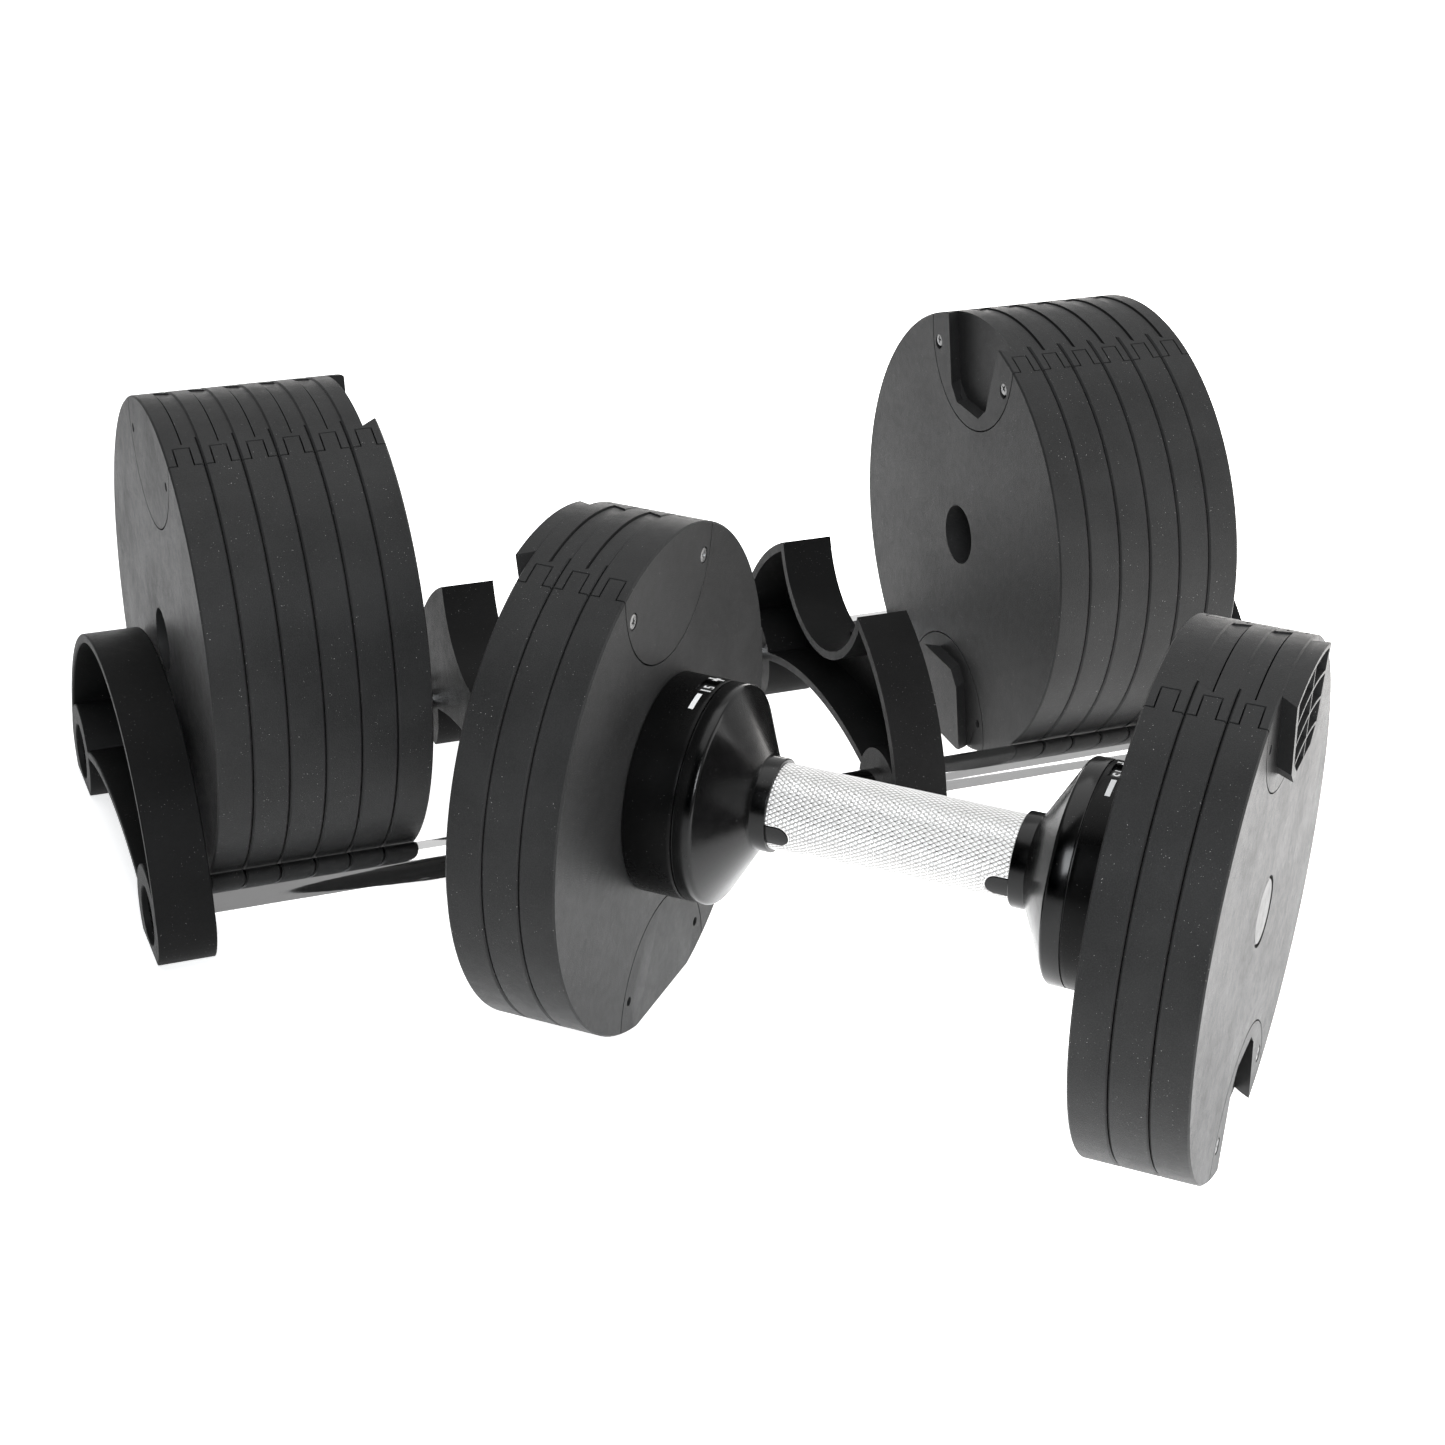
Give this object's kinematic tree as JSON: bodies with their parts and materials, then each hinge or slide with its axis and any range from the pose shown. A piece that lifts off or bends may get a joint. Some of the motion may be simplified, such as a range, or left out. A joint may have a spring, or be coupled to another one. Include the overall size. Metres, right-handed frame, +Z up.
{
  "type": "adjustable dumbbell",
  "caption": "Adjustable dumbbell with a twist grip that picks up dovetailed plates, standing in front of a cradle with rails that holds the plates left behind.",
  "frame": {"origin": "on the floor, under the middle of the whole set's bounding box", "axes": "+X along the cradle to the right, +Y to the back of the cradle, +Z up; the dumbbell stands in front of the cradle, turned about the vertical by 43.4 degrees"},
  "size_m": [0.4512, 0.4542, 0.1795],
  "materials": {
    "plate_coating": "dark charcoal coating with a fine grain, satin",
    "insert_plastic": "black moulded plastic, satin",
    "gloss_black": "gloss black",
    "dial_black": "black with white figures",
    "collar_black": "semi-gloss black with white marks",
    "cradle_plastic": "fine-textured black plastic",
    "grip_chrome": "bright, diamond-knurled",
    "rail_chrome": "polished",
    "screw_steel": "dark zinc",
    "bar_black": "black oxide, satin",
    "steel": "machined"
  },
  "bodies": {
    "cradle": {"left_end_bracket": "cradle_plastic", "left_inner_bracket": "cradle_plastic", "right_inner_bracket": "cradle_plastic", "right_end_bracket": "cradle_plastic", "front_rail": "rail_chrome", "rear_rail": "rail_chrome"},
    "dumbbell": {"left_plate_1": "plate_coating", "left_plate_2": "plate_coating", "left_plate_3": "plate_coating", "left_inserts_1": "insert_plastic", "left_inserts_2": "insert_plastic", "left_inserts_3": "insert_plastic", "right_plate_1": "plate_coating", "right_plate_2": "plate_coating", "right_plate_3": "plate_coating", "right_inserts_1": "insert_plastic", "right_inserts_2": "insert_plastic", "right_inserts_3": "insert_plastic", "left_collar": "collar_black", "right_collar": "collar_black", "core_tube": "steel", "hub_pins": "steel", "insert_screws": "screw_steel"},
    "grip": {"grip_sleeve": "grip_chrome", "drive_sleeve": "steel", "left_cone": "gloss_black", "right_cone": "gloss_black", "left_dial": "dial_black", "right_dial": "dial_black"},
    "left_bar": {"left_bar": "bar_black"},
    "right_bar": {"right_bar": "bar_black"},
    "left_lock": {"left_lock_pin": "steel", "left_lock_spring": "steel"},
    "right_lock": {"right_lock_pin": "steel", "right_lock_spring": "steel"},
    "left_weight_9": {"left_plate_9": "plate_coating", "left_inserts_9": "insert_plastic"},
    "left_weight_8": {"left_plate_8": "plate_coating", "left_inserts_8": "insert_plastic"},
    "left_weight_7": {"left_plate_7": "plate_coating", "left_inserts_7": "insert_plastic"},
    "left_weight_6": {"left_plate_6": "plate_coating", "left_inserts_6": "insert_plastic"},
    "left_weight_5": {"left_plate_5": "plate_coating", "left_inserts_5": "insert_plastic"},
    "left_weight_4": {"left_plate_4": "plate_coating", "left_inserts_4": "insert_plastic"},
    "right_weight_9": {"right_plate_9": "plate_coating", "right_inserts_9": "insert_plastic"},
    "right_weight_8": {"right_plate_8": "plate_coating", "right_inserts_8": "insert_plastic"},
    "right_weight_7": {"right_plate_7": "plate_coating", "right_inserts_7": "insert_plastic"},
    "right_weight_6": {"right_plate_6": "plate_coating", "right_inserts_6": "insert_plastic"},
    "right_weight_5": {"right_plate_5": "plate_coating", "right_inserts_5": "insert_plastic"},
    "right_weight_4": {"right_plate_4": "plate_coating", "right_inserts_4": "insert_plastic"}
  },
  "joints": [
    {"name": "dumbbell_lift", "type": "slide", "parent": "cradle", "child": "dumbbell", "axis": [0, 0, 1], "range_m": [0, 0.3]},
    {"name": "grip_turn", "type": "hinge", "parent": "dumbbell", "child": "grip", "pos_m": [0.001, -0.07732, 0.0865], "axis": [0.7266, -0.6871, 0], "range_deg": [-108, 144]},
    {"name": "left_bar_slide", "type": "slide", "parent": "dumbbell", "child": "left_bar", "axis": [-0.7266, 0.6871, 0], "range_m": [-0.0391, 0.0521]},
    {"name": "right_bar_slide", "type": "slide", "parent": "dumbbell", "child": "right_bar", "axis": [0.7266, -0.6871, 0], "range_m": [-0.0391, 0.0521]},
    {"name": "left_lock_lift", "type": "slide", "parent": "dumbbell", "child": "left_lock", "axis": [0, 0, 1], "range_m": [0, 0.0022], "stiffness_N_per_m": 800, "springref_m": -0.002, "deforming": ["left_lock_spring"]},
    {"name": "left_weight_9_lift", "type": "slide", "parent": "cradle", "child": "left_weight_9", "axis": [0, 0, 1], "range_m": [0, 0.1]},
    {"name": "left_weight_8_lift", "type": "slide", "parent": "left_weight_9", "child": "left_weight_8", "axis": [0, 0, 1], "range_m": [0, 0.1]},
    {"name": "left_weight_7_lift", "type": "slide", "parent": "left_weight_8", "child": "left_weight_7", "axis": [0, 0, 1], "range_m": [0, 0.1]},
    {"name": "left_weight_6_lift", "type": "slide", "parent": "left_weight_7", "child": "left_weight_6", "axis": [0, 0, 1], "range_m": [0, 0.1]},
    {"name": "left_weight_5_lift", "type": "slide", "parent": "left_weight_6", "child": "left_weight_5", "axis": [0, 0, 1], "range_m": [0, 0.1]},
    {"name": "left_weight_4_lift", "type": "slide", "parent": "left_weight_5", "child": "left_weight_4", "axis": [0, 0, 1], "range_m": [0, 0.1]},
    {"name": "right_lock_lift", "type": "slide", "parent": "dumbbell", "child": "right_lock", "axis": [0, 0, 1], "range_m": [0, 0.0022], "stiffness_N_per_m": 800, "springref_m": -0.002, "deforming": ["right_lock_spring"]},
    {"name": "right_weight_9_lift", "type": "slide", "parent": "cradle", "child": "right_weight_9", "axis": [0, 0, 1], "range_m": [0, 0.1]},
    {"name": "right_weight_8_lift", "type": "slide", "parent": "right_weight_9", "child": "right_weight_8", "axis": [0, 0, 1], "range_m": [0, 0.1]},
    {"name": "right_weight_7_lift", "type": "slide", "parent": "right_weight_8", "child": "right_weight_7", "axis": [0, 0, 1], "range_m": [0, 0.1]},
    {"name": "right_weight_6_lift", "type": "slide", "parent": "right_weight_7", "child": "right_weight_6", "axis": [0, 0, 1], "range_m": [0, 0.1]},
    {"name": "right_weight_5_lift", "type": "slide", "parent": "right_weight_6", "child": "right_weight_5", "axis": [0, 0, 1], "range_m": [0, 0.1]},
    {"name": "right_weight_4_lift", "type": "slide", "parent": "right_weight_5", "child": "right_weight_4", "axis": [0, 0, 1], "range_m": [0, 0.1]}
  ],
  "couplings": [
    {"joint": "left_bar_slide", "follows": "grip_turn", "m_per_rad": 0.02069},
    {"joint": "right_bar_slide", "follows": "grip_turn", "m_per_rad": 0.02069}
  ]
}
